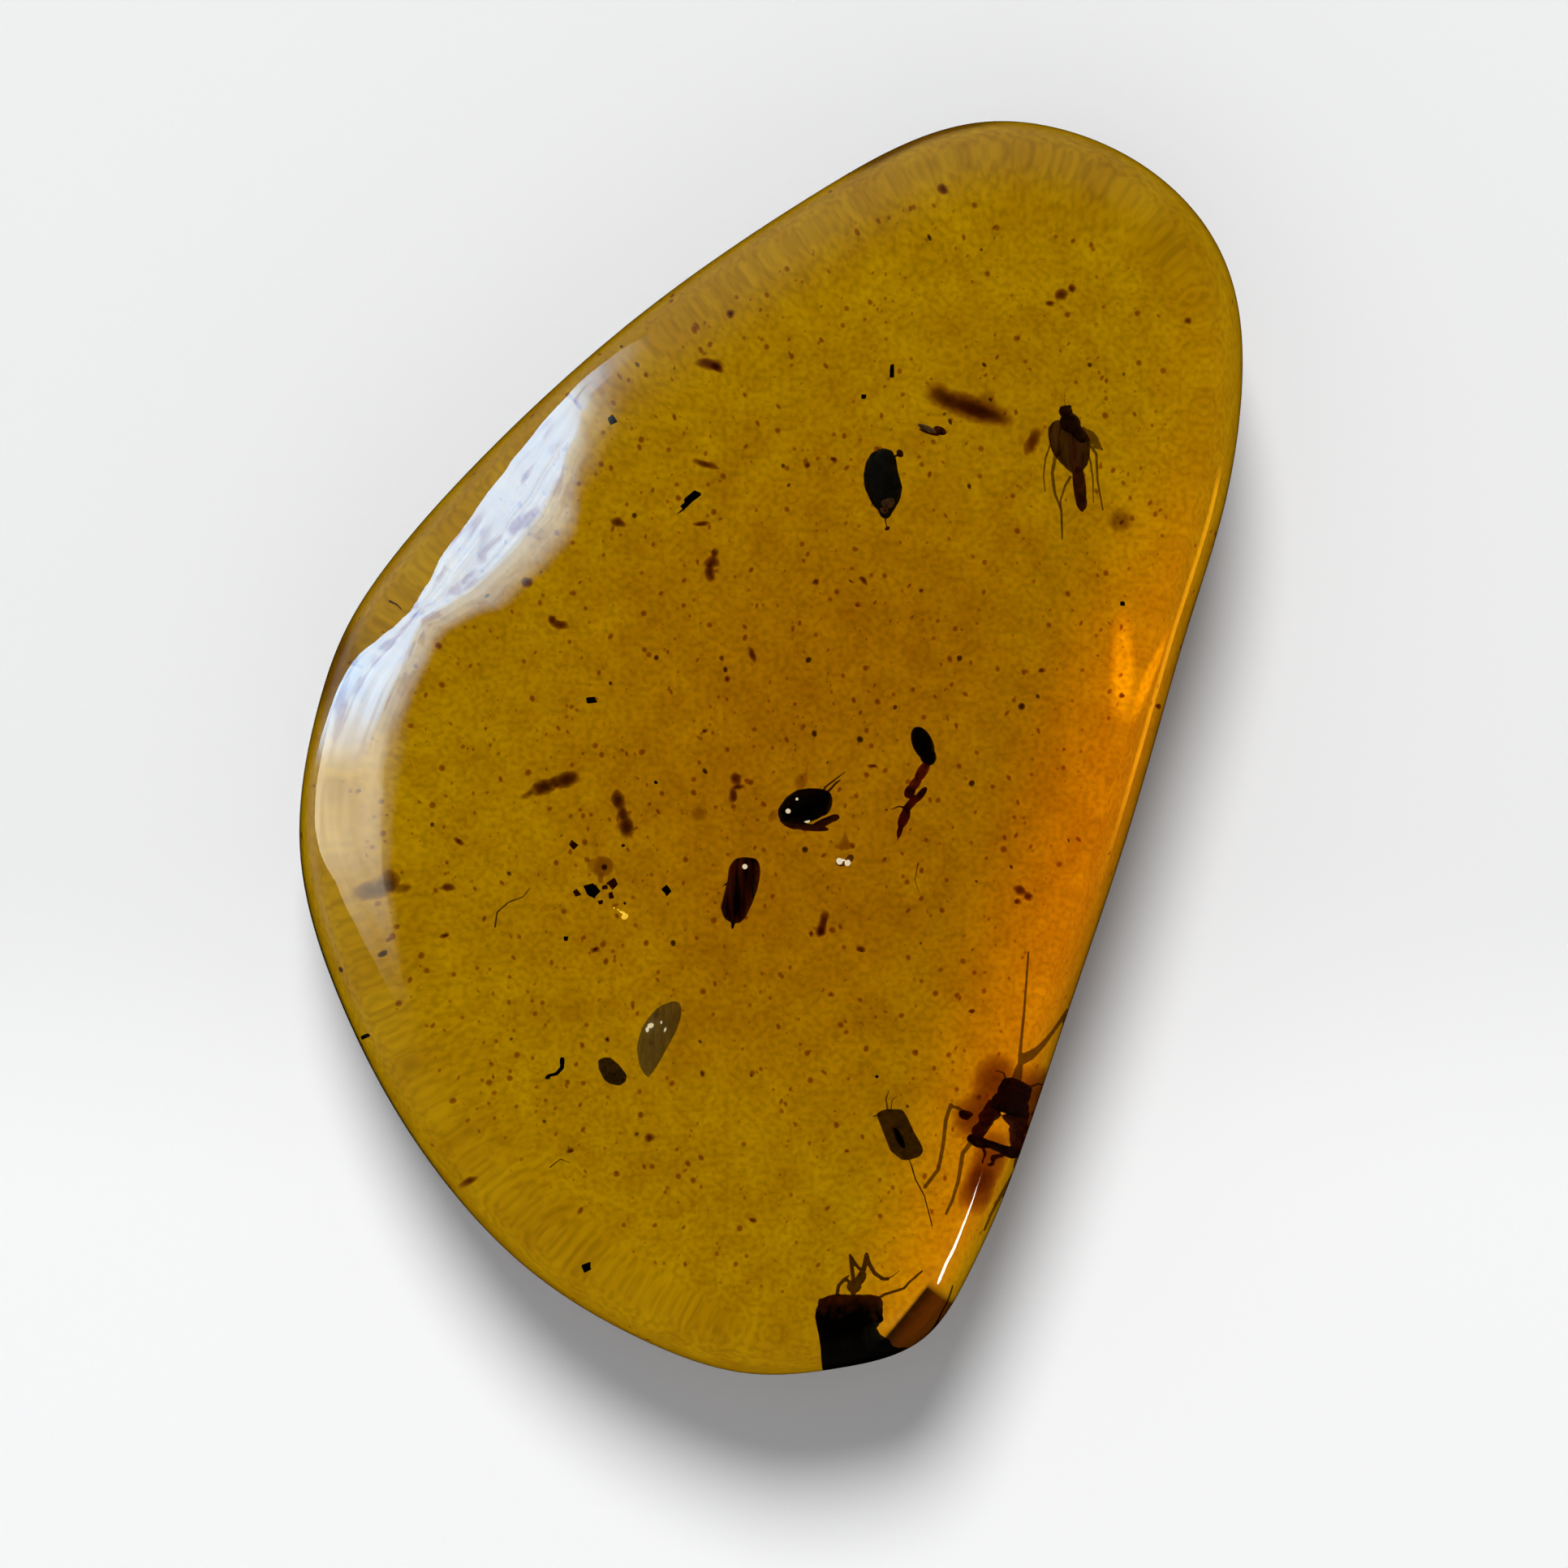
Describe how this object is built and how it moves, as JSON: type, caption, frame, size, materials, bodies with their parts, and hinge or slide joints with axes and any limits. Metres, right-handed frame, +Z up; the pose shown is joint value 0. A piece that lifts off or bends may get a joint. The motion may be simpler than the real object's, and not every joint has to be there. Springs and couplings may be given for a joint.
{
  "type": "insects in polished amber",
  "caption": "Hand-polished clear golden amber, flat underneath and rounded at the edge, with insects and plant bits sealed inside.",
  "frame": {"origin": "bottom centre of the bounding box, on the flat polished back", "axes": "+Z up through the domed crown, +Y along the stone's longest extent towards the narrow rounded end, +X across it towards the straight edge"},
  "size_m": [0.0233, 0.0308, 0.0065],
  "materials": {
    "amber": "polished",
    "black_chitin": "satin",
    "brown_chitin": "satin",
    "grey_chitin": "matt",
    "bark": "raw",
    "husk": "raw",
    "soil": "raw"
  },
  "bodies": {
    "root": {"amber_top": "amber", "amber_base": "amber", "winged_fly": "brown_chitin", "oval_beetle": "grey_chitin", "round_beetle": "black_chitin", "long_beetle": "black_chitin", "slender_rove_beetle": "brown_chitin", "bark_louse": "brown_chitin", "leggy_spider": "brown_chitin", "edge_beetle": "black_chitin", "bark_splinter": "bark", "grey_sliver": "husk", "bark_chip": "bark", "seed_husk": "husk", "small_seed": "husk", "twig_forked": "bark", "twig_short": "bark", "soil_crumbs": "soil", "brown_grain": "bark"}
  },
  "joints": []
}
